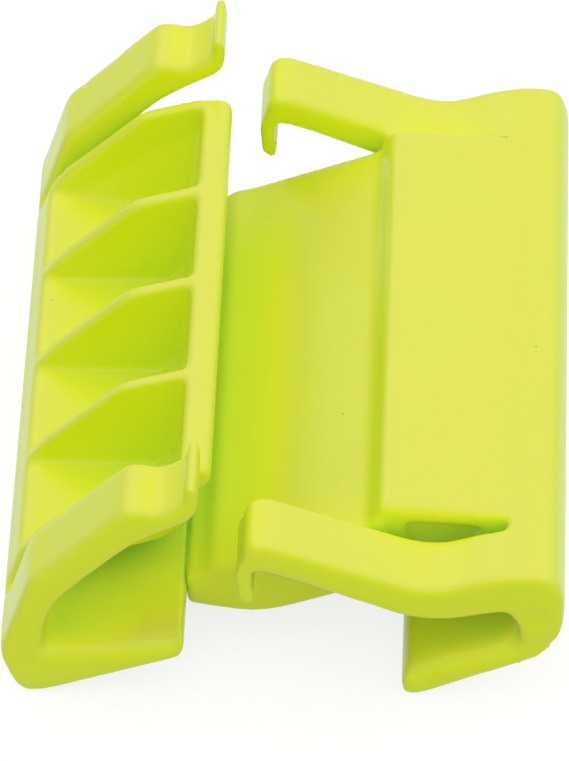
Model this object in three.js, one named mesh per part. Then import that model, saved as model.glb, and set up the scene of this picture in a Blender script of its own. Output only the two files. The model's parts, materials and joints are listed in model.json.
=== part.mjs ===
// Moulded spring clip: two jaws joined by a sloping web with a living hinge.
// Millimetres, +Z up. Y runs along the hinge line, X across the jaws, and Z = 0 is the
// surface that the clip stands on. The origin is the middle of its footprint.
//
// Every member is a section in the XZ plane swept along Y. Distances are measured inboard
// from the outer face of the left or the right jaw, so a change of width lengthens the web.
import * as THREE from "three";

// Overall
const LENGTH = 63; // along the hinge line
const WIDTH = 50.4; // over the outer faces of both jaws
const HEIGHT = 27.3; // standing surface to the top of the left fingers

// Slots and gaps
const ARM_WIDTH = 6.4; // along Y, each of the four end arms
const SLOT = 1.2; // between an arm and the grip or the pad beside it
const WEB_SLOT = 0.7; // between an arm and the web
const FLEX_GAP = 0.3; // between two members that bend against each other

// Left jaw
const LEFT_WAIST = 6.1; // height at which arms and grip leave the corner
const LEFT_WALL = 3.8; // thickness of the outer wall at the waist
const FLAP_TIP_LOW = 4.85; // underside of the flap at its free edge
const FLAP_TIP_HIGH = 7.3; // top of the flap at its free edge
const LEFT_TIP = 18.4; // outer face to the tip of a left arm

// Ribbed grip
const FLOOR = 10; // height of the grip's floor
const FLOOR_THICK = 1.8;
const BACK_THICK = 1.65; // wall behind the pockets
const RIM_INNER = 16.15; // outer face to the pocket side of the rim
const RIM_OUTER = 19.1; // outer face to the mouth side of the rim
const RIM_BASE = HEIGHT - 8.9;
const RIM_TOP = HEIGHT - 6;
const RIB_COUNT = 5;
const RIB_THICK = 1.2;

// Web and hinge
const HINGE = 17; // outer face of the left jaw to the hinge line
const HINGE_HEIGHT = 7.3;
const HINGE_SLIT = 1; // between the flap and the web
const HINGE_SKIN = 0.44; // thickness of the strip that bends
const FLAP_REACH = HINGE - HINGE_SLIT / 2; // outer face to the left flap's inner edge
const WEB_START = HINGE + HINGE_SLIT / 2; // outer face to the web

// Right jaw
const RIGHT_TOP = 15.8; // height of the outer wall
const RIGHT_WAIST = 7.5; // height at which the flap leaves the wall
const RIGHT_WALL = 4.1; // thickness of the outer wall at the waist
const WALL_TOP_WIDTH = 5; // flat top of the outer wall
const MOUTH = 5.1; // between the tips of the left and right arms
const TIP_RISE = 3.9; // arm tips above the wall
const RIGHT_FLAP_REACH = 14.7; // outer face to the flap's free edge
const PAD_WIDTH = 11.35;
const PAD_EDGE = WALL_TOP_WIDTH + PAD_WIDTH; // outer face to the plate's high edge
const PAD_RISE = 0.9; // high edge of the plate above the wall
const PAD_DROP = 0.1; // low edge of the plate below the wall
const PAD_THICK = 1.9;
const LEG_THICK = 2.2;
const PAD_ROOT = 2.65; // solid part of the plate beside the wall
const PAD_CORNER = 0.6; // inner corner of the hollow under the plate
const PAD_END_THICK = 1.2; // walls that close the hollow's ends
const PAD_END_SET_BACK = 0.9; // those walls, behind the plate's ends

// Where the members lie along Y
const NEAR_END = -LENGTH / 2;
const FAR_END = LENGTH / 2;
const GRIP_NEAR = NEAR_END + ARM_WIDTH + SLOT;
const GRIP_FAR = FAR_END - ARM_WIDTH - SLOT;
const WEB_NEAR = NEAR_END + ARM_WIDTH + WEB_SLOT;
const WEB_FAR = FAR_END - ARM_WIDTH - WEB_SLOT;

const CORNER_STEPS = 3; // straight pieces in each rounded corner

// A point measured from the outer face of the left jaw, with an optional corner radius.
const L = (inboard, z, radius = 0) => ({ x: -WIDTH / 2 + inboard, z, radius });

// The same from the outer face of the right jaw.
const R = (inboard, z, radius = 0) => ({ x: WIDTH / 2 - inboard, z, radius });

// A share of the way from one height to another.
const between = (low, high, share) => low + (high - low) * share;

function towards(from, to, distance) {
  const dx = to.x - from.x;
  const dz = to.z - from.z;
  const span = Math.hypot(dx, dz);
  const share = Math.min(distance, span * 0.45) / span;
  return { x: from.x + dx * share, z: from.z + dz * share };
}

// The outline as a shape, with each corner that has a radius turned into a curve.
function outline(corners) {
  const shape = new THREE.Shape();
  corners.forEach((corner, index) => {
    const before = corners[(index + corners.length - 1) % corners.length];
    const after = corners[(index + 1) % corners.length];
    const start = towards(corner, before, corner.radius);
    const end = towards(corner, after, corner.radius);
    if (index === 0) shape.moveTo(start.x, start.z);
    else shape.lineTo(start.x, start.z);
    if (corner.radius > 0) shape.quadraticCurveTo(corner.x, corner.z, end.x, end.z);
  });
  shape.closePath();
  return shape;
}

const colours = {
  lime: 0xdde25a,
  shade: 0xcfd945,
};

function plastic(colour) {
  return new THREE.MeshStandardMaterial({ color: colour, roughness: 0.42, metalness: 0 });
}

const clip = new THREE.Group();

// Sweeps a section along Y between two stations and adds it under its name.
function member(name, corners, yFrom, yTo, colour = colours.lime) {
  const geometry = new THREE.ExtrudeGeometry(outline(corners), {
    depth: yTo - yFrom,
    bevelEnabled: false,
    curveSegments: CORNER_STEPS,
  });
  geometry.rotateX(Math.PI / 2);
  geometry.translate(0, yTo, 0);
  const mesh = new THREE.Mesh(geometry, plastic(colour));
  mesh.name = name;
  clip.add(mesh);
}

// Left jaw: lower flap and outer corner in one.
function leftFlap() {
  const corners = [
    L(0, LEFT_WAIST),
    L(0, LEFT_WAIST - 1.6, 1.2),
    L(1.4, 0, 2.2),
    L(3.6, 0, 1.5),
    L(FLAP_REACH, FLAP_TIP_LOW, 0.7),
    L(FLAP_REACH, FLAP_TIP_HIGH, 0.3),
    L(FLAP_REACH - 0.8, FLAP_TIP_HIGH - 0.35, 0.4),
    L(10.3, LEFT_WAIST),
    L(4.6, LEFT_WAIST - 0.5, 0.6),
    L(LEFT_WALL, LEFT_WAIST - 0.1),
    L(LEFT_WALL, LEFT_WAIST),
  ];
  member("left_flap", corners, NEAR_END, FAR_END);
}

// Left end arm: rises from the corner, leans over at the knee and ends in a finger.
function leftArm(name, yFrom) {
  const root = LEFT_WAIST + FLEX_GAP;
  const corners = [
    L(0.08, root),
    L(3, HEIGHT - 12.6, 1.2),
    L(4.2, HEIGHT - 11.6, 1),
    L(LEFT_TIP - 6.65, HEIGHT - 3.5, 1),
    L(LEFT_TIP - 5.35, HEIGHT - 3.2, 0.8),
    L(LEFT_TIP - 3.75, HEIGHT - 3.95, 0.6),
    L(LEFT_TIP - 2.5, HEIGHT - 3.2, 0.6),
    L(LEFT_TIP - 1.2, HEIGHT - 2.5, 0.5),
    L(LEFT_TIP - 1.1, HEIGHT - 1.1, 0.5),
    L(LEFT_TIP - 0.85, HEIGHT, 0.3),
    L(LEFT_TIP - 0.3, HEIGHT, 0.3),
    L(LEFT_TIP, HEIGHT - 1.1, 0.5),
    L(LEFT_TIP, HEIGHT - 3.3, 0.8),
    L(LEFT_TIP - 0.7, HEIGHT - 4.7, 0.6),
    L(LEFT_TIP - 3.9, HEIGHT - 6.5, 1),
    L(LEFT_TIP - 6.6, HEIGHT - 8.4, 1.2),
    L(LEFT_TIP - 12.7, HEIGHT - 14.9, 1.4),
    L(LEFT_WALL + 0.5, between(root, HEIGHT - 14.9, 0.5), 0.8),
    L(LEFT_WALL, root),
  ];
  member(name, corners, yFrom, yFrom + ARM_WIDTH);
}

// The line of the pockets' floor and back, from the outer edge to the rim's base.
function pocketLine() {
  const backHeight = (share) => between(FLOOR, RIM_BASE, share);
  return [
    L(1.45, FLOOR),
    L(RIM_INNER - 2.9, FLOOR),
    L(RIM_INNER - 1.35, backHeight(0.17)),
    L(RIM_INNER - 0.4, backHeight(0.52)),
    L(RIM_INNER, RIM_BASE),
  ];
}

// Floor and back wall of the ribbed grip.
function gripPan() {
  const root = LEFT_WAIST + FLEX_GAP;
  const under = FLOOR - FLOOR_THICK;
  const corners = [
    L(0.08, root),
    ...pocketLine(),
    L(RIM_INNER + BACK_THICK, RIM_BASE),
    L(RIM_INNER - 0.4 + BACK_THICK, between(FLOOR, RIM_BASE, 0.48), 1),
    L(RIM_INNER + 0.4, between(FLOOR, RIM_BASE, 0.12), 1),
    L(RIM_INNER - 2, under, 1),
    L(LEFT_WALL + 0.1, under, 0.4),
    L(LEFT_WALL, root),
  ];
  member("grip_pan", corners, GRIP_NEAR, GRIP_FAR, colours.shade);
}

// Bar along the top of the back wall.
function gripRim() {
  const corners = [
    L(RIM_INNER, RIM_BASE),
    L(RIM_INNER + 0.2, RIM_TOP),
    L(RIM_OUTER - 0.4, RIM_TOP, 0.5),
    L(RIM_OUTER, RIM_TOP - 0.6, 0.4),
    L(RIM_OUTER, RIM_BASE + 0.8, 0.4),
    L(RIM_INNER + BACK_THICK, RIM_BASE),
  ];
  member("grip_rim", corners, GRIP_NEAR, GRIP_FAR);
}

// Cross walls between the pockets, the first and last closing the ends.
function gripRibs() {
  const pitch = (GRIP_FAR - GRIP_NEAR - RIB_THICK) / (RIB_COUNT - 1);
  const corners = [
    ...pocketLine().reverse(),
    L(RIM_INNER - 5.75, HEIGHT - 7.8, 1),
    L(RIM_INNER + 0.2, RIM_TOP),
  ];
  for (let index = 0; index < RIB_COUNT; index += 1) {
    const start = GRIP_NEAR + index * pitch;
    member(`grip_rib_${index + 1}`, corners, start, start + RIB_THICK);
  }
}

// Sloping web between the jaws, with a keel underneath.
function bridgeWeb() {
  const corners = [
    L(WEB_START, HINGE_HEIGHT - 3.5, 0.5),
    L(WEB_START, HINGE_HEIGHT + 0.4, 0.3),
    L(WEB_START + 1.3, HINGE_HEIGHT + 1.7, 0.6),
    L(WEB_START + 2.9, HINGE_HEIGHT + 2, 0.6),
    R(PAD_EDGE, RIGHT_TOP - 0.9),
    R(PAD_EDGE, RIGHT_WAIST - 0.4),
    L(WEB_START + 7.7, HINGE_HEIGHT - 3.8, 1.5),
    L(WEB_START + 5.1, HINGE_HEIGHT - 4.4, 1.5),
    L(WEB_START + 2.9, HINGE_HEIGHT - 4.1, 1.2),
  ];
  member("bridge_web", corners, WEB_NEAR, WEB_FAR);
}

// Thin strip in which the web and the left flap bend.
function hingeSkin() {
  const half = HINGE_SKIN / 2;
  const corners = [
    L(HINGE - half, HINGE_HEIGHT - half, 0.15),
    L(HINGE - half, HINGE_HEIGHT + half, 0.15),
    L(HINGE + half, HINGE_HEIGHT + half, 0.15),
    L(HINGE + half, HINGE_HEIGHT - half, 0.15),
  ];
  member("hinge_skin", corners, GRIP_NEAR, GRIP_FAR, colours.shade);
}

// Height of the plate's underside.
function padUnder(inboard) {
  const slope = (PAD_RISE + PAD_DROP) / PAD_WIDTH;
  return RIGHT_TOP + PAD_RISE - PAD_THICK - slope * (PAD_EDGE - inboard);
}

// Raised plate over a hollow, solid where it joins the outer wall.
function padPlate() {
  const root = WALL_TOP_WIDTH + PAD_ROOT;
  const leg = PAD_EDGE - LEG_THICK;
  const corners = [
    R(PAD_EDGE, padUnder(PAD_EDGE)),
    R(PAD_EDGE, RIGHT_TOP + PAD_RISE),
    R(WALL_TOP_WIDTH, RIGHT_TOP - PAD_DROP),
    R(WALL_TOP_WIDTH, RIGHT_TOP - 4.9),
    R(root, RIGHT_TOP - 5.2, 0.5),
    R(root, padUnder(root), PAD_CORNER),
    R(leg, padUnder(leg)),
  ];
  member("pad_plate", corners, GRIP_NEAR, GRIP_FAR);
}

// Wall under the plate's high edge.
function padLeg() {
  const inner = PAD_EDGE - LEG_THICK;
  const corners = [
    R(PAD_EDGE, RIGHT_WAIST - 0.4),
    R(PAD_EDGE, padUnder(PAD_EDGE)),
    R(inner, padUnder(inner)),
    R(inner, RIGHT_WAIST + 0.6, 0.4),
  ];
  member("pad_leg", corners, GRIP_NEAR, GRIP_FAR, colours.shade);
}

// Wall that closes one end of the hollow under the plate.
function padEnd(name, yFrom) {
  const root = WALL_TOP_WIDTH + PAD_ROOT;
  const leg = PAD_EDGE - LEG_THICK;
  const corners = [
    R(leg, RIGHT_WAIST + 2.3),
    R(leg, padUnder(leg)),
    R(root, padUnder(root), PAD_CORNER),
    R(root, RIGHT_TOP - 4.4),
  ];
  member(name, corners, yFrom, yFrom + PAD_END_THICK, colours.shade);
}

// Outer wall of the right jaw, down to the waist.
function rightWall() {
  const height = (share) => between(RIGHT_WAIST, RIGHT_TOP, share);
  const corners = [
    R(RIGHT_WALL, RIGHT_WAIST),
    R(RIGHT_WALL, height(0.23), 0.4),
    R(WALL_TOP_WIDTH, height(0.4), 0.5),
    R(WALL_TOP_WIDTH, RIGHT_TOP),
    R(1.95, RIGHT_TOP, 0.8),
    R(0.75, RIGHT_TOP - 0.5, 0.8),
    R(0, height(0.64), 0.8),
    R(0, height(0.45), 0.8),
    R(0.15, height(0.19), 0.8),
    R(0.6, RIGHT_WAIST),
  ];
  member("right_wall", corners, NEAR_END, FAR_END);
}

// Lower flap of the right jaw. Its free edge is the line that the clip stands on.
function rightFlap() {
  const root = RIGHT_WAIST - FLEX_GAP;
  const corners = [
    R(RIGHT_WALL, root),
    R(0.65, root),
    R(0.95, root - 1.1, 0.8),
    R(2.4, root - 2, 1),
    R(RIGHT_FLAP_REACH - 1.5, 0, 0.8),
    R(RIGHT_FLAP_REACH - 0.3, 0, 0.6),
    R(RIGHT_FLAP_REACH, 1, 0.6),
    R(RIGHT_FLAP_REACH - 0.5, 3.2, 0.6),
    R(RIGHT_FLAP_REACH - 2.6, 4.3, 0.8),
    R(RIGHT_WALL + 1.6, root - 0.6, 0.6),
  ];
  member("right_flap", corners, NEAR_END, FAR_END);
}

// Right end arm: leaves the wall, dips, and climbs to a nose with a hook that points down.
function rightArm(name, yFrom) {
  const root = WALL_TOP_WIDTH + FLEX_GAP;
  const tip = LEFT_TIP + MOUTH;
  const tipTop = RIGHT_TOP + TIP_RISE;
  const corners = [
    R(root, RIGHT_TOP - 4.5),
    R(root, RIGHT_TOP),
    R(root + 2.6, RIGHT_TOP - 0.7, 1.4),
    R(root + 5.3, RIGHT_TOP - 1.75, 1.4),
    R(root + 8, RIGHT_TOP - 1.55, 1.4),
    L(tip + 0.6, tipTop, 0.9),
    L(tip - 0.4, tipTop - 0.2, 0.8),
    L(tip - 2.1, tipTop - 3.3, 1),
    L(tip - 2, tipTop - 7, 0.5),
    L(tip - 1.2, tipTop - 7.4, 0.4),
    L(tip - 0.8, tipTop - 6, 0.5),
    L(tip - 0.6, tipTop - 3.2, 0.5),
    L(tip + 2, tipTop - 4.1, 1),
    R(root + 9, RIGHT_TOP - 5.3, 1.4),
    R(root + 6, RIGHT_TOP - 5.9, 1.4),
    R(root + 3, RIGHT_TOP - 5.3, 1.4),
  ];
  member(name, corners, yFrom, yFrom + ARM_WIDTH);
}

leftFlap();
leftArm("left_near_arm", NEAR_END);
leftArm("left_far_arm", FAR_END - ARM_WIDTH);
gripPan();
gripRim();
gripRibs();
bridgeWeb();
hingeSkin();
padPlate();
padLeg();
padEnd("pad_end_near", GRIP_NEAR + PAD_END_SET_BACK);
padEnd("pad_end_far", GRIP_FAR - PAD_END_SET_BACK - PAD_END_THICK);
rightWall();
rightFlap();
rightArm("right_near_arm", NEAR_END);
rightArm("right_far_arm", FAR_END - ARM_WIDTH);

export default clip;
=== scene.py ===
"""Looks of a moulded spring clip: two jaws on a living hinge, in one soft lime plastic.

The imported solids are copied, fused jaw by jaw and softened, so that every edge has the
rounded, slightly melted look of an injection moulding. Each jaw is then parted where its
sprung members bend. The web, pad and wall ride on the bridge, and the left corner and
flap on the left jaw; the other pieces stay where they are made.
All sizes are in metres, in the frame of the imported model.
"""

import json
import logging
import math
from dataclasses import dataclass, field
from enum import Enum
from typing import Any, Callable, Sequence

import bmesh
import bpy
from mathutils import Matrix, Vector
from mathutils.bvhtree import BVHTree

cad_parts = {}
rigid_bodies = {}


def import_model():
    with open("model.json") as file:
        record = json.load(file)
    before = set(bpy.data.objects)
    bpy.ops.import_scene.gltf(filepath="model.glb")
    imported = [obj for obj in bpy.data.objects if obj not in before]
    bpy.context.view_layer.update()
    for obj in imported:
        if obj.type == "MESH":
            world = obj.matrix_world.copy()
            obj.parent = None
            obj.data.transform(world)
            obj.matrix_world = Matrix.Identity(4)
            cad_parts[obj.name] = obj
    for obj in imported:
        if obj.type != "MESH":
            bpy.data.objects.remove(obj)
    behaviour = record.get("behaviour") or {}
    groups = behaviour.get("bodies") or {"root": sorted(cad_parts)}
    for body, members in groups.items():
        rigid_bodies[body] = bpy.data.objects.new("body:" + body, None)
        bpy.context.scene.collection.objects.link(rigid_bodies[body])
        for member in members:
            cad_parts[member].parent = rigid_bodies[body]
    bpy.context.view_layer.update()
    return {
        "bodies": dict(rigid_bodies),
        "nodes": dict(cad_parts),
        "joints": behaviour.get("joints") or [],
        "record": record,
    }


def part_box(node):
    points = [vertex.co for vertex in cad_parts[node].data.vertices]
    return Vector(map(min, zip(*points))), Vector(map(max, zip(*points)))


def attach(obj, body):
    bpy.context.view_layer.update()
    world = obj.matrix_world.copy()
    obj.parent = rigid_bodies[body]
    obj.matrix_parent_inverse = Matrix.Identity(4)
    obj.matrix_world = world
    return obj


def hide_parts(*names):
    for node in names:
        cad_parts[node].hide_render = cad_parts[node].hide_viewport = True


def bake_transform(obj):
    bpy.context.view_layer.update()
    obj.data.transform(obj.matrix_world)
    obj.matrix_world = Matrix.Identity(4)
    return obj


log = logging.getLogger("clip")

MM = 0.001
WELD = 1e-6
Colour = tuple[float, float, float, float]
UP = Vector((0, 0, 1))
RIGHT = Vector((1, 0, 0))


class Body(Enum):
    """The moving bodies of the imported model."""

    BRIDGE = "bridge"
    LEFT_JAW = "left_jaw"
    LEFT_NEAR_ARM = "left_near_arm"
    LEFT_FAR_ARM = "left_far_arm"
    GRIP = "grip"
    RIGHT_NEAR_ARM = "right_near_arm"
    RIGHT_FAR_ARM = "right_far_arm"
    RIGHT_FLAP = "right_flap"


# ---------------------------------------------------------------- shader expressions


class Wire:
    """A node socket that can be used in Python expressions."""

    def __init__(self, socket: bpy.types.NodeSocket) -> None:
        """Wraps an output socket."""
        self.socket = socket

    @staticmethod
    def node(
        tree: bpy.types.NodeTree,
        kind: str,
        settings: dict[str, Any] | None = None,
        sockets: dict[str | int, Any] | None = None,
    ) -> bpy.types.Node:
        """Adds a node.

        Args:
            tree: The node tree that it goes into.
            kind: The node's type.
            settings: The node's own properties, such as a ramp's stops, which are set first.
            sockets: Values or wires for its inputs, by name or index.

        Returns:
            The new node.
        """
        made = tree.nodes.new(kind)
        for name, value in (settings or {}).items():
            if name == "stops":
                stops = made.color_ramp.elements
                while len(stops) < len(value):
                    stops.new(1)
                for stop, (position, colour) in zip(stops, value):
                    stop.position, stop.color = position, colour
            else:
                setattr(made, name, value)
        for name, value in (sockets or {}).items():
            if isinstance(value, Wire):
                tree.links.new(value.socket, made.inputs[name])
            else:
                made.inputs[name].default_value = value
        return made

    def _math(self, operation: str, first: Any, second: Any, clamp: bool = False) -> "Wire":
        """Adds a Math node on two values.

        Args:
            operation: The node's operation.
            first: The first value, or its wire.
            second: The second value, or its wire.
            clamp: Whether the result is kept between 0 and 1.

        Returns:
            The result.
        """
        made = Wire.node(
            self.socket.id_data,
            "ShaderNodeMath",
            {"operation": operation, "use_clamp": clamp},
            {0: first, 1: second},
        )
        return Wire(made.outputs[0])

    def __add__(self, other: Any) -> "Wire":
        """self + other."""
        return self._math("ADD", self, other)

    __radd__ = __add__

    def __sub__(self, other: Any) -> "Wire":
        """self - other."""
        return self._math("SUBTRACT", self, other)

    def __rsub__(self, other: Any) -> "Wire":
        """other - self."""
        return self._math("SUBTRACT", other, self)

    def __mul__(self, other: Any) -> "Wire":
        """self * other."""
        return self._math("MULTIPLY", self, other)

    __rmul__ = __mul__

    def clamped(self) -> "Wire":
        """The value kept between 0 and 1."""
        return self._math("ADD", self, 0.0, clamp=True)

    def mixed(self, low: Any, high: Any) -> "Wire":
        """A colour between two colours, with this value as the share of the second.

        Args:
            low: The colour, or its wire, at 0.
            high: The colour, or its wire, at 1.

        Returns:
            The mixed colour.
        """
        made = Wire.node(
            self.socket.id_data, "ShaderNodeMix", {"data_type": "RGBA"}, {0: self, 6: low, 7: high}
        )
        return Wire(made.outputs[2])


# ---------------------------------------------------------------- finish


@dataclass(frozen=True)
class LimePlastic:
    """Satin lime plastic, faintly specked, with painted light and shade: greener in its hollows by
    ambient occlusion, brighter on its end faces and greener on its side faces by which way they
    face.
    """

    # Painted shade: body colours by ambient occlusion, from fully hidden (0) to open (1), greener
    # and brighter where the skin is hidden.
    painted_shade_by_openness: tuple[tuple[float, Colour], ...] = (
        (0.00, (0.63, 0.94, 0.130, 1)),
        (0.35, (0.74, 0.93, 0.075, 1)),
        (0.60, (0.81, 0.91, 0.050, 1)),
        (0.80, (0.81, 0.85, 0.032, 1)),
        (1.00, (0.715, 0.735, 0.080, 1)),
    )
    # Painted light and shade: tints for faces pointing along Y (end faces) and along X (side faces),
    # standing in for how the light falls on them.
    end_face_painted_shade: Colour = (0.77, 0.90, 0.005, 1)
    side_face_painted_shade: Colour = (0.64, 0.78, 0.030, 1)
    painted_face_shade_share: float = 0.9
    reach: float = 9 * MM
    flow_scale: float = 70.0
    flow_swing: float = 0.12
    speck: Colour = (0.16, 0.30, 0.02, 1)
    speck_scale: float = 400.0
    speck_radius: float = 0.05
    speck_rarity: float = 0.92
    speck_edge: float = 60.0
    speck_share: float = 0.6
    ior: float = 1.37
    roughness: float = 0.26
    roughness_swing: float = 0.08
    grain: float = 0.010 * MM
    grain_scale: float = 2600.0
    grain_strength: float = 0.35

    def made(self, name: str) -> bpy.types.Material:
        """The material, ready for a piece.

        Args:
            name: The name it gets.

        Returns:
            The new material.
        """
        material = bpy.data.materials.new(name)
        material.use_nodes = True
        tree = material.node_tree
        tree.nodes.clear()
        place = Wire(Wire.node(tree, "ShaderNodeTexCoord").outputs["Object"])

        def noise(scale: float, detail: float) -> Wire:
            """A cloudy value between 0 and 1, in the piece's own place."""
            made = Wire.node(
                tree, "ShaderNodeTexNoise", None, {"Vector": place, "Scale": scale, "Detail": detail}
            )
            return Wire(made.outputs["Fac"])

        # Painted shade: ambient occlusion picks the body colour, so hollows, corners, slots and the
        # skin under overhangs get a greener, brighter colour.
        openness = Wire(
            Wire.node(
                tree, "ShaderNodeAmbientOcclusion", {"samples": 16}, {"Distance": self.reach}
            ).outputs["AO"]
        )
        # Random flow noise shifts the occlusion value, so the painted shade is mottled.
        flow = noise(self.flow_scale, 2) - 0.5
        depth = openness + flow * self.flow_swing
        ramp = Wire.node(tree, "ShaderNodeValToRGB", {"stops": self.painted_shade_by_openness}, {"Fac": depth})
        cells = Wire.node(
            tree,
            "ShaderNodeTexVoronoi",
            {"feature": "F1"},
            {"Vector": place, "Scale": self.speck_scale},
        )
        tint = Wire.node(tree, "ShaderNodeSeparateColor", None, {0: Wire(cells.outputs["Color"])})
        near = (self.speck_radius - Wire(cells.outputs["Distance"])) * self.speck_edge
        rare = (Wire(tint.outputs[0]) - self.speck_rarity) * self.speck_edge
        speck = near.clamped() * rare.clamped() * self.speck_share
        # Painted light and shade: the colour shifts towards a tint by which way the face points,
        # more so where it is open.
        normal = Wire(Wire.node(tree, "ShaderNodeNewGeometry").outputs["Normal"])
        facing = Wire.node(tree, "ShaderNodeSeparateXYZ", None, {0: normal})
        end, side = Wire(facing.outputs["Y"]), Wire(facing.outputs["X"])
        body = (end * end * depth * self.painted_face_shade_share).mixed(
            Wire(ramp.outputs["Color"]), self.end_face_painted_shade
        )
        body = (side * side * depth * self.painted_face_shade_share).mixed(body, self.side_face_painted_shade)
        colour = speck.mixed(body, self.speck)
        grain = Wire.node(
            tree,
            "ShaderNodeBump",
            None,
            {
                "Strength": self.grain_strength,
                "Distance": self.grain,
                "Height": noise(self.grain_scale, 1),
            },
        )
        surface = Wire.node(
            tree,
            "ShaderNodeBsdfPrincipled",
            None,
            {
                "Base Color": colour,
                "Roughness": self.roughness + flow * self.roughness_swing,
                "IOR": self.ior,
                "Normal": Wire(grain.outputs[0]),
            },
        )
        Wire.node(tree, "ShaderNodeOutputMaterial", None, {"Surface": Wire(surface.outputs[0])})
        return material


# ---------------------------------------------------------------- moulding


@dataclass(frozen=True)
class Stretch:
    """Moves chosen corners of a copied solid, to swell it or to fuse it with its neighbour."""

    node: str
    picks: Callable[[Vector], bool]
    by: Vector


@dataclass(frozen=True)
class Lean:
    """Leans the end of a copied solid inwards, the more the lower it is under a level."""

    node: str
    picks: Callable[[Vector], bool]
    level: float
    slope: float


@dataclass(frozen=True)
class Knee:
    """Adds a corner to the top of a copied solid and raises it."""

    node: str
    x: float
    above: float
    rise: float


@dataclass(frozen=True)
class Ease:
    """Rounds chosen edges of a copied solid more than the skin's own softening does."""

    node: str
    picks: Callable[[bmesh.types.BMEdge], bool]
    width: float
    segments: int = 5


@dataclass(frozen=True)
class Pin:
    """The shallow round mark that an ejector pin leaves on an end face."""

    x: float
    z: float
    radius: float
    depth: float = 0.07 * MM


@dataclass(frozen=True)
class Parting:
    """A flat cut that parts one member from the rest of a moulding."""

    point: Vector
    normal: Vector
    picks: Callable[[Vector], bool]


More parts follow.
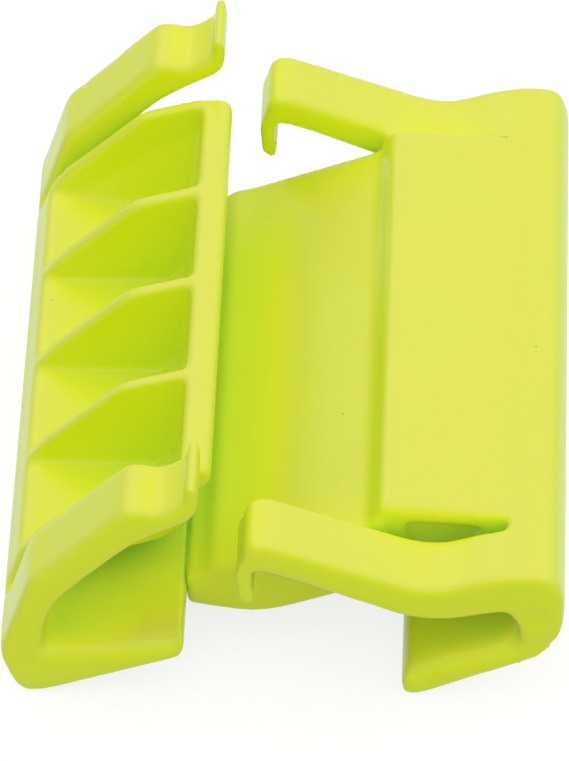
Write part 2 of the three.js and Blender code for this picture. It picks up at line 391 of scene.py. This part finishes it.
@dataclass(kw_only=True)
class Moulding:
    """Solids fused into one softly rounded skin."""

    name: str
    frame: dict[str, Any]
    material: bpy.types.Material
    voxel: float = 0.25 * MM
    flat_turn: float = 0.5
    rounds: tuple[tuple[float, int], ...] = ((0, 8), (1.5 * MM, 7), (2.1 * MM, 11))
    soften: float = 0.5
    crease: float = 0.05
    ray_start: float = 0.2
    pins: tuple[Pin, ...] = ()
    pin_room: float = 0.3 * MM
    skin: bmesh.types.BMesh = field(init=False, repr=False)

    def fuse(self, nodes: Sequence[str], shaping: Sequence[Stretch | Lean | Knee | Ease]) -> None:
        """Copies solids, fits them into each other and makes them one skin.

        Args:
            nodes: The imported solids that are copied.
            shaping: What is done to the copies first, in this order.
        """
        whole = bmesh.new()
        for node in nodes:
            part = self._copied(node)
            for step in shaping:
                if step.node == node:
                    self._shape(part, step)
            copy = bpy.data.meshes.new(node + "_copy")
            part.to_mesh(copy)
            part.free()
            whole.from_mesh(copy)
            bpy.data.meshes.remove(copy)
        self.skin = self._remeshed(whole)
        self._soften()
        for pin in self.pins:
            self._press(pin)

    @staticmethod
    def _shape(part: bmesh.types.BMesh, step: Stretch | Lean | Knee | Ease) -> None:
        """Does one step of shaping to a copied solid.

        Args:
            part: The copied solid.
            step: What is done to it.
        """
        if isinstance(step, Stretch):
            moved = [v for v in part.verts if step.picks(v.co)]
            bmesh.ops.translate(part, verts=moved, vec=step.by)
        elif isinstance(step, Lean):
            for side in (-1, 1):
                shear = Matrix.Identity(4)
                shear[1][2] = side * step.slope
                shear[1][3] = -side * step.slope * step.level
                moved = [v for v in part.verts if side * v.co.y > 0 and step.picks(v.co)]
                bmesh.ops.transform(part, matrix=shear, verts=moved)
        elif isinstance(step, Knee):
            bmesh.ops.bisect_plane(
                part,
                geom=[*part.verts, *part.edges, *part.faces],
                plane_co=RIGHT * step.x,
                plane_no=RIGHT,
            )
            raised = [v for v in part.verts if abs(v.co.x - step.x) < WELD and v.co.z > step.above]
            bmesh.ops.translate(part, verts=raised, vec=UP * step.rise)
        else:
            bmesh.ops.bevel(
                part,
                geom=[e for e in part.edges if step.picks(e)],
                offset=step.width,
                segments=step.segments,
                profile=0.5,
                affect="EDGES",
                material=-1,
            )

    def _copied(self, node: str) -> bmesh.types.BMesh:
        """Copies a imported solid's mesh and merges its loose triangles into whole faces.

        Args:
            node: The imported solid.

        Returns:
            The copy.
        """
        part = bmesh.new()
        part.from_mesh(self.frame["nodes"][node].data)
        bmesh.ops.remove_doubles(part, verts=part.verts, dist=WELD)
        bmesh.ops.dissolve_limit(
            part, angle_limit=math.radians(self.flat_turn), verts=part.verts, edges=part.edges
        )
        return part

    def _soften(self) -> None:
        """Rounds the skin, less where it is thin, and least along its inner corners."""
        tree = BVHTree.FromBMesh(self.skin)
        depth: list[float] = []
        self.skin.normal_update()
        for vert in self.skin.verts:
            start = vert.co - vert.normal * (self.ray_start * self.voxel)
            hit = tree.ray_cast(start, -vert.normal)[3]
            depth.append(hit if hit is not None else 1.0)
        crisp: set[bmesh.types.BMVert] = set()
        for least, count in self.rounds:
            chosen = [v for v, d in zip(self.skin.verts, depth) if d >= least and v not in crisp]
            for _ in range(count):
                bmesh.ops.smooth_vert(
                    self.skin,
                    verts=chosen,
                    factor=self.soften,
                    use_axis_x=True,
                    use_axis_y=True,
                    use_axis_z=True,
                )
            self.skin.normal_update()
            crisp = {v for v in self.skin.verts if self._hollow(v) > self.crease * self.voxel}

    @staticmethod
    def _hollow(vert: bmesh.types.BMVert) -> float:
        """How far the skin around a vertex stands above it, which is positive in a corner."""
        around = [e.other_vert(vert).co for e in vert.link_edges]
        return (sum(around, Vector()) / len(around) - vert.co).dot(vert.normal)

    def _press(self, pin: Pin) -> None:
        """Presses a pin's mark into both end faces.

        Args:
            pin: Where the mark is and how wide and deep.
        """
        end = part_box("right_wall")[1].y
        for side in (-1, 1):
            inside = [
                v
                for v in self.skin.verts
                if side * v.co.y > end - self.pin_room
                and math.hypot(v.co.x - pin.x, v.co.z - pin.z) < pin.radius
            ]
            bmesh.ops.translate(self.skin, verts=inside, vec=Vector((0, -side * pin.depth, 0)))

    def _remeshed(self, source: bmesh.types.BMesh) -> bmesh.types.BMesh:
        """Gives the outer skin of overlapping solids in even small faces.

        Args:
            source: The solids, which are freed.

        Returns:
            The skin.
        """
        mesh = bpy.data.meshes.new(self.name + "_solids")
        source.to_mesh(mesh)
        source.free()
        carrier = bpy.data.objects.new(mesh.name, mesh)
        bpy.context.scene.collection.objects.link(carrier)
        remesh = carrier.modifiers.new("skin", "REMESH")
        remesh.mode = "VOXEL"
        remesh.voxel_size = self.voxel
        skin = bmesh.new()
        skin.from_object(carrier, bpy.context.evaluated_depsgraph_get())
        bpy.data.objects.remove(carrier)
        bpy.data.meshes.remove(mesh)
        return skin

    def part_off(self, cut: Parting) -> bmesh.types.BMesh:
        """Cuts a member off the skin and closes both cut faces.

        Args:
            cut: The plane, whose normal points at the member, and which faces may be cut.

        Returns:
            The member as a closed mesh of its own.
        """
        faces = [f for f in self.skin.faces if cut.picks(f.calc_center_median())]
        edges = {e for f in faces for e in f.edges}
        verts = {v for f in faces for v in f.verts}
        bmesh.ops.bisect_plane(
            self.skin,
            geom=[*verts, *edges, *faces],
            dist=WELD / 10,
            plane_co=cut.point,
            plane_no=cut.normal,
        )

        def beyond(face: bmesh.types.BMFace) -> bool:
            """True for a face of the member."""
            middle = face.calc_center_median()
            return cut.picks(middle) and (middle - cut.point).dot(cut.normal) > 0

        member = self.skin.copy()
        rest = [f for f in member.faces if not beyond(f)]
        bmesh.ops.delete(member, geom=rest, context="FACES")
        gone = [f for f in self.skin.faces if beyond(f)]
        bmesh.ops.delete(self.skin, geom=gone, context="FACES")
        for half in (self.skin, member):
            self._close(half)
        return member

    @staticmethod
    def _close(mesh: bmesh.types.BMesh) -> None:
        """Fills the open cut faces and keeps their rims crisp.

        Args:
            mesh: The mesh that has been cut.
        """
        rim = [e for e in mesh.edges if e.is_boundary]
        bmesh.ops.holes_fill(mesh, edges=rim, sides=0)
        for edge in rim:
            edge.smooth = False

    def piece(
        self, name: str, mesh: bmesh.types.BMesh, stands_for: Sequence[str]
    ) -> bpy.types.Object:
        """Makes a shown piece of a finished mesh.

        Args:
            name: The piece's name.
            mesh: The closed mesh, which is freed.
            stands_for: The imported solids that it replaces.

        Returns:
            The new object, at the origin.
        """
        for face in mesh.faces:
            face.smooth = True
        data = bpy.data.meshes.new(name)
        mesh.to_mesh(data)
        mesh.free()
        data.materials.append(self.material)
        made = bpy.data.objects.new(name, data)
        bpy.context.scene.collection.objects.link(made)
        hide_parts(*stands_for)
        log.info("%s: %d faces", name, len(data.polygons))
        return made


def inner_end_edge(edge: bmesh.types.BMEdge) -> bool:
    """True for an edge between a flap's end face and its inner, upper side."""
    normals = [f.normal for f in edge.link_faces]
    return any(abs(n.y) > 0.9 for n in normals) and any(n.z > 0.6 for n in normals)


@dataclass(kw_only=True)
class LeftJaw(Moulding):
    """Flap, outer corner, two sprung arms and the ribbed grip between them."""

    name: str = "left_jaw"
    pins: tuple[Pin, ...] = (Pin(-22.9 * MM, 4.3 * MM, 0.9 * MM),)
    ribs: int = 5
    tip_height: float = 0.9 * MM
    tip_drop: float = 0.4 * MM
    end_depth: float = 5.6 * MM
    end_thickness: float = 1.3 * MM
    end_lean: float = 0.36
    knee_reach: float = 1.7 * MM
    knee_height: float = 0.5 * MM
    knee_rise: float = 0.5 * MM
    flap_ease: float = 1.4 * MM
    waist: float = 6.25 * MM
    gap: float = 0.3 * MM
    overlap: float = 0.8 * MM
    bend: float = 3.2 * MM
    slot: float = 0.6 * MM
    flap_room: float = 0.4 * MM
    corner_width: float = 6 * MM

    def build(self) -> None:
        """Fuses the jaw and parts its members; only the corner and flap is put on its body."""
        ribs = [f"grip_rib_{i + 1}" for i in range(self.ribs)]
        grip = ["grip_pan", "grip_rim", *ribs]
        arms = ["left_near_arm", "left_far_arm"]
        down = UP * -self.overlap
        root = self.waist + self.gap
        shaping: list[Stretch | Lean | Knee | Ease] = [
            Stretch(n, lambda co: co.z < root, down) for n in [*arms, "grip_pan"]
        ]
        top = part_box(arms[0])[1].z - self.tip_height
        shaping += [Stretch(arm, lambda co: co.z > top, UP * -self.tip_drop) for arm in arms]
        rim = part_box("grip_rim")[0].z
        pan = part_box("grip_pan")
        inner = pan[1].x - self.end_depth
        ends = pan[1].y - self.end_thickness
        for node in ("grip_pan", ribs[0], ribs[-1]):
            shaping.append(
                Lean(
                    node,
                    lambda co: co.x > inner and co.z < rim and abs(co.y) > ends,
                    rim,
                    self.end_lean,
                )
            )
        for rib in ribs:
            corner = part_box(rib)[0]
            above = corner.z + self.knee_height
            shaping.append(Knee(rib, corner.x + self.knee_reach, above, self.knee_rise))
        shaping.append(Ease("left_flap", inner_end_edge, self.flap_ease))
        self.fuse(["left_flap", *arms, *grip], shaping)
        near_slot, far_slot = pan[0].y - self.slot, pan[1].y + self.slot
        flap_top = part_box("left_flap")[1].z + self.flap_room
        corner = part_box("left_flap")[0].x + self.corner_width
        rows: list[tuple[str, Body, float, float, list[str]]] = [
            ("left_near_arm_skin", Body.LEFT_NEAR_ARM, -1, near_slot, arms[:1]),
            ("left_far_arm_skin", Body.LEFT_FAR_ARM, far_slot, 1, arms[1:]),
            ("ribbed_grip", Body.GRIP, near_slot, far_slot, grip),
        ]
        for name, body, near, far, nodes in rows:

            def picks(co: Vector, near: float = near, far: float = far) -> bool:
                """True in the member's room, which leaves out the tip of the flap."""
                return near < co.y < far and (co.x < corner or co.z > flap_top)

            made = self.piece(name, self.part_off(Parting(UP * self.waist, UP, picks)), nodes)
            self.waist + self.bend
            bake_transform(made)
        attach(self.piece("left_corner_and_flap", self.skin, ["left_flap"]), Body.LEFT_JAW.value)


@dataclass(kw_only=True)
class RightJaw(Moulding):
    """Web, raised pad and outer wall, with two hooked arms and the lower flap."""

    name: str = "right_jaw"
    waist: float = 7.35 * MM
    arm_root: float = 20.05 * MM
    margin: float = 0.2 * MM
    hinge_closing: float = 1.15 * MM
    hook_width: float = 2.2 * MM
    hook_reach: float = 7.4 * MM
    hook_toe: float = 0.8 * MM
    hook_drop: float = 0.5 * MM
    swell_height: float = 1.6 * MM
    swell_start: float = 0.7 * MM
    hook_swell: float = 0.35 * MM
    tip_size: float = 0.6 * MM
    tip_lift: float = 0.3 * MM
    nose_height: float = 1.5 * MM
    nose_swell: float = 0.55 * MM
    corner_width: float = 1.7 * MM
    corner_drop: float = 0.7 * MM
    corner_ease: float = 0.35 * MM
    pad_edge: float = 0.1 * MM
    pad_lip: float = 0.5 * MM
    pad_draft: float = 1.0 * MM
    far_reach: float = 0.8 * MM
    flap_ease: float = 1.4 * MM
    pins: tuple[Pin, ...] = (
        Pin(22.6 * MM, 10.6 * MM, 1.35 * MM),
        Pin(13.2 * MM, 2.3 * MM, 1.1 * MM),
    )
    overlap: float = 0.8 * MM
    slot: float = 0.6 * MM
    pocket_room: float = 1 * MM
    wall: float = 4.1 * MM
    flap_bend: tuple[float, float] = (1.2 * MM, 2.4 * MM)
    bend: float = 3.2 * MM

    def build(self) -> None:
        """Fuses the jaw and parts its members; only the web, pad and wall is put on its body."""
        arms = ["right_near_arm", "right_far_arm"]
        ends = ["pad_end_near", "pad_end_far"]
        fixed = ["bridge_web", "pad_leg", "pad_plate", *ends, "right_wall"]
        flap_root, arm_end = self.waist - self.margin, self.arm_root - self.margin
        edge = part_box("bridge_web")[0].x + self.margin
        shaping: list[Stretch | Lean | Knee | Ease] = [
            Stretch("right_flap", lambda co: co.z > flap_root, UP * self.overlap),
            *(Stretch(n, lambda co: co.x > arm_end, RIGHT * self.overlap) for n in arms),
            Stretch("bridge_web", lambda co: co.x < edge, RIGHT * -self.hinge_closing),
        ]
        for arm in arms:
            shaping += self._hook(arm)
        shaping += self._pad_edges() + self._flap_corner()
        self.fuse([*fixed, *arms, "right_flap"], shaping)
        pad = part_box("pad_plate")
        near_slot, far_slot = pad[0].y - self.slot, pad[1].y + self.slot
        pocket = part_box("right_flap")[0].x - self.pocket_room
        below = Parting(UP * self.waist, -UP, lambda co: co.x > pocket)
        made = self.piece("right_flap_skin", self.part_off(below), ["right_flap"])
        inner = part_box("right_wall")[1].x - self.wall
        across, down = self.flap_bend
        inner - across
        self.waist - down
        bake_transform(made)
        rows: list[tuple[str, Body, Callable[[Vector], bool], list[str]]] = [
            ("right_near_arm_skin", Body.RIGHT_NEAR_ARM, lambda co: co.y < near_slot, arms[:1]),
            ("right_far_arm_skin", Body.RIGHT_FAR_ARM, lambda co: co.y > far_slot, arms[1:]),
        ]
        for name, body, picks, nodes in rows:
            cut = Parting(RIGHT * self.arm_root, -RIGHT, picks)
            made = self.piece(name, self.part_off(cut), nodes)
            self.arm_root - self.bend
            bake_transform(made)
        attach(self.piece("web_pad_and_wall", self.skin, fixed), Body.BRIDGE.value)

    def _hook(self, arm: str) -> list[Stretch]:
        """Makes an arm's nose and hook fuller and the hook's tip round.

        Args:
            arm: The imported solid.

        Returns:
            The steps, in order.
        """
        nose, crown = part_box(arm)[0].x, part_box(arm)[1].z
        sole, back = crown - self.hook_reach, nose + self.hook_width

        def toe(co: Vector) -> bool:
            """True at the hook's lower end."""
            return co.z < sole + self.hook_toe and co.x < back

        def outer_tip(co: Vector) -> bool:
            """True at the outer corner of that end."""
            return co.z < sole + self.tip_size and co.x < nose + self.tip_size

        def inner_side(co: Vector) -> bool:
            """True on the hook's inner side."""
            return co.z < sole + self.swell_height and nose + self.swell_start < co.x < back

        def front(co: Vector) -> bool:
            """True on the nose above the hook."""
            return co.z > crown - self.nose_height and co.x < back

        return [
            Stretch(arm, toe, UP * -self.hook_drop),
            Stretch(arm, outer_tip, UP * self.tip_lift),
            Stretch(arm, inner_side, RIGHT * self.hook_swell),
            Stretch(arm, front, RIGHT * -self.nose_swell),
        ]

    def _pad_edges(self) -> list[Stretch]:
        """Gives the plate's long edge its draft and brings its far end near the arm."""
        low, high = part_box("pad_plate")
        edge, lip, end = low.x + self.pad_edge, high.z - self.pad_lip, high.y - self.pad_edge
        nodes = ("pad_plate", "pad_leg")
        draft = RIGHT * -self.pad_draft
        reach = Vector((0, self.far_reach, 0))
        return [
            step
            for node in nodes
            for step in (
                Stretch(node, lambda co: co.x < edge and co.z < lip, draft),
                Stretch(node, lambda co: co.y > end, reach),
            )
        ]

    def _flap_corner(self) -> list[Stretch | Ease]:
        """Rounds the flap's outer corner and the inner edges of its ends."""
        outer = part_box("right_wall")[1].x - self.corner_width
        low = self.waist - self.corner_drop
        inwards = Vector((-self.corner_ease, 0, self.corner_ease / 2))
        return [
            Stretch("right_flap", lambda co: co.x > outer and co.z < low, inwards),
            Ease("right_flap", inner_end_edge, self.flap_ease),
        ]


@dataclass(kw_only=True)
class HingeStrip(Moulding):
    """The thin strip in which the clip folds."""

    name: str = "hinge_strip"
    height: float = 6.6 * MM
    thickness: float = 0.5 * MM
    reach: float = 0.75 * MM
    set_back: float = 1.5 * MM
    half_bend: float = 0.5 * MM
    steps: int = 9

    def build(self) -> None:
        """Builds the strip as a thin plate with cross lines to bend along."""
        low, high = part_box("hinge_skin")
        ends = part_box("bridge_web")
        length = ends[1].y - ends[0].y - 2 * self.set_back
        middle = (low.x + high.x) / 2
        plate = bmesh.new()
        bmesh.ops.create_cube(plate, size=1)
        bmesh.ops.scale(
            plate, verts=plate.verts, vec=Vector((2 * self.reach, length, self.thickness))
        )
        bmesh.ops.translate(plate, verts=plate.verts, vec=Vector((middle, 0, self.height)))
        for step in range(1, self.steps):
            bmesh.ops.bisect_plane(
                plate,
                geom=[*plate.verts, *plate.edges, *plate.faces],
                plane_co=RIGHT * (middle + self.reach * (2 * step / self.steps - 1)),
                plane_no=RIGHT,
            )
        made = self.piece("hinge_strip", plate, ["hinge_skin"])
        middle + self.half_bend
        middle - self.half_bend
        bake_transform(made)


# ---------------------------------------------------------------- studio


@dataclass
class Studio:
    """Camera, floor and soft light. Angles are in degrees."""

    azimuth: float = 3.508
    elevation: float = 46.07
    roll: float = 2.028
    lens: float = 307.8
    sensor: float = 36.0
    distance: float = 597.8 * MM
    clip: tuple[float, float] = (0.01, 20.0)
    aim: Vector = field(default_factory=lambda: Vector((-0.713, -1.011, 9.07)) * MM)
    horizon: float = 0.74
    zenith: float = 0.42
    slant: float = 0.2
    key: float = 0.6
    key_size: float = 0.5
    key_distance: float = 0.9
    key_from: tuple[float, float, float] = (-0.42, 0.62, 0.75)
    floor_size: float = 3.0
    floor_grey: float = 0.5
    paper_grey: float = 0.25
    paper_glow: float = 0.8

    def camera(self) -> None:
        """Puts the camera in front, above and slightly to the right."""
        a, e, r = (math.radians(x) for x in (self.azimuth, self.elevation, self.roll))
        right = Vector((math.cos(a), math.sin(a), 0))
        upward = Vector((-math.sin(a) * math.sin(e), math.cos(a) * math.sin(e), math.cos(e)))
        back = right.cross(upward)
        side = right * math.cos(r) - upward * math.sin(r)
        top = right * math.sin(r) + upward * math.cos(r)
        data = bpy.data.cameras.new("camera")
        data.lens = self.lens
        data.sensor_width = self.sensor
        data.clip_start, data.clip_end = self.clip
        made = bpy.data.objects.new("camera", data)
        turn = Matrix((side, top, back)).transposed().to_4x4()
        made.matrix_world = Matrix.Translation(self.aim + back * self.distance) @ turn
        bpy.context.scene.collection.objects.link(made)
        bpy.context.scene.camera = made

    def floor(self) -> None:
        """Lays a wide floor, which is white to the camera and a plain grey to other light."""
        sheet = bmesh.new()
        bmesh.ops.create_grid(sheet, x_segments=1, y_segments=1, size=self.floor_size)
        data = bpy.data.meshes.new("floor")
        sheet.to_mesh(data)
        sheet.free()
        made = bpy.data.objects.new("floor", data)
        bpy.context.scene.collection.objects.link(made)
        material = bpy.data.materials.new("white_floor")
        material.use_nodes = True
        tree = material.node_tree
        tree.nodes.clear()
        rays = Wire.node(tree, "ShaderNodeLightPath")
        seen = Wire(rays.outputs["Is Camera Ray"]) + Wire(rays.outputs["Is Glossy Ray"])
        plain, paper = (
            Wire.node(tree, "ShaderNodeBsdfDiffuse", None, {"Color": (grey, grey, grey, 1)})
            for grey in (self.floor_grey, self.paper_grey)
        )
        glow = Wire.node(tree, "ShaderNodeEmission", None, {"Strength": self.paper_glow})
        lit = Wire.node(
            tree, "ShaderNodeAddShader", None, {0: Wire(paper.outputs[0]), 1: Wire(glow.outputs[0])}
        )
        mix = Wire.node(
            tree,
            "ShaderNodeMixShader",
            None,
            {0: seen, 1: Wire(plain.outputs[0]), 2: Wire(lit.outputs[0])},
        )
        Wire.node(tree, "ShaderNodeOutputMaterial", None, {"Surface": Wire(mix.outputs[0])})
        data.materials.append(material)

    def light(self) -> None:
        """Lights the clip with a pale dome and one soft lamp from the back left."""
        world = bpy.data.worlds.new("dome")
        world.use_nodes = True
        tree = world.node_tree
        tree.nodes.clear()
        ray = Wire.node(tree, "ShaderNodeTexCoord")
        parts = Wire.node(tree, "ShaderNodeSeparateXYZ", None, {0: Wire(ray.outputs["Generated"])})
        rise = Wire(parts.outputs["Z"]).clamped() * self.zenith
        glow = rise + Wire(parts.outputs["X"]) * self.slant + self.horizon
        shade = Wire.node(
            tree, "ShaderNodeBackground", None, {"Color": (1, 1, 1, 1), "Strength": glow}
        )
        Wire.node(tree, "ShaderNodeOutputWorld", None, {"Surface": Wire(shade.outputs[0])})
        bpy.context.scene.world = world
        lamp = bpy.data.lights.new("softbox", "AREA")
        lamp.shape = "RECTANGLE"
        lamp.size, lamp.size_y = self.key_size, self.key_size
        lamp.energy = self.key
        made = bpy.data.objects.new("softbox", lamp)
        towards = Vector(self.key_from).normalized()
        made.location = towards * self.key_distance
        made.rotation_mode = "QUATERNION"
        made.rotation_quaternion = towards.to_track_quat("Z", "Y")
        bpy.context.scene.collection.objects.link(made)


def main() -> None:
    """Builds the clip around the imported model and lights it."""
    logging.basicConfig(level=logging.INFO, format="%(name)s %(message)s")
    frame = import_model()
    bpy.context.scene.view_settings.view_transform = "Standard"
    plastic = LimePlastic().made("lime_plastic")
    for sub_assembly in (
        LeftJaw(frame=frame, material=plastic),
        RightJaw(frame=frame, material=plastic),
        HingeStrip(frame=frame, material=plastic),
    ):
        sub_assembly.build()
    studio = Studio()
    studio.camera()
    studio.floor()
    studio.light()


if __name__ == "__main__":
    main()
